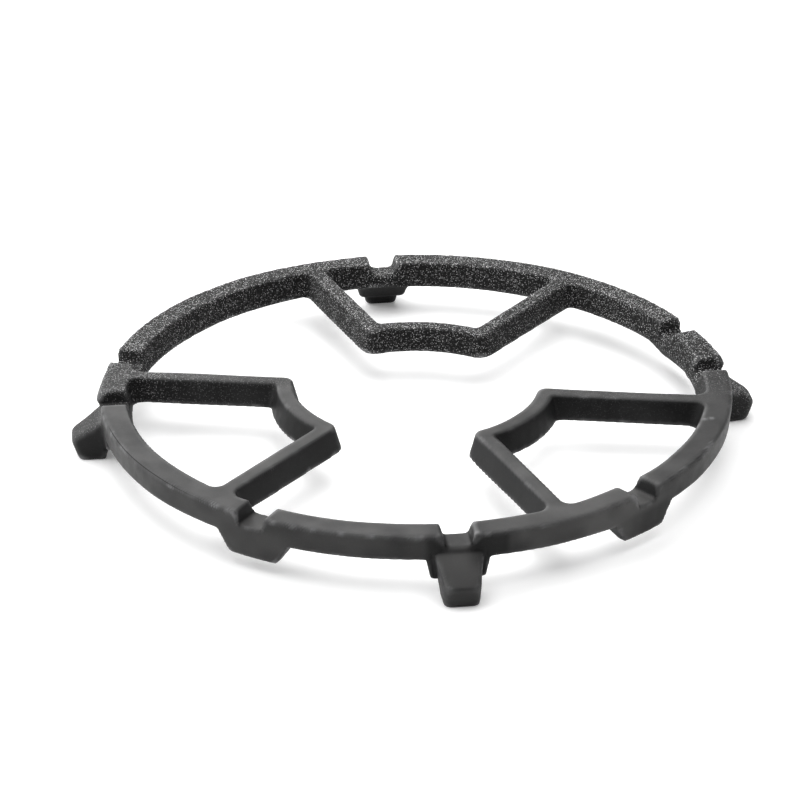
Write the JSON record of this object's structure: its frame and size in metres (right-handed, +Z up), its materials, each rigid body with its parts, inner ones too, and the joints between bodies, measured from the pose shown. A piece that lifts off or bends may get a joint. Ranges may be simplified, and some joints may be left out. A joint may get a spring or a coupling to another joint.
{
  "type": "hob pan support",
  "caption": "Round cast-iron pan support for a gas hob: a notched ring on short splayed feet, with open loops reaching inwards to carry small pans.",
  "frame": {"origin": "middle of the ring, on the plane of the four soles", "axes": "+Z up through the ring, +Y towards the notch that both notch patterns share, +X towards the foot on its right seen from above"},
  "size_m": [0.2584, 0.2584, 0.0222],
  "materials": {
    "casting": "matte black, as cast, with a fine sandy grain"
  },
  "bodies": {
    "root": {"pan_support": "casting"}
  },
  "joints": []
}
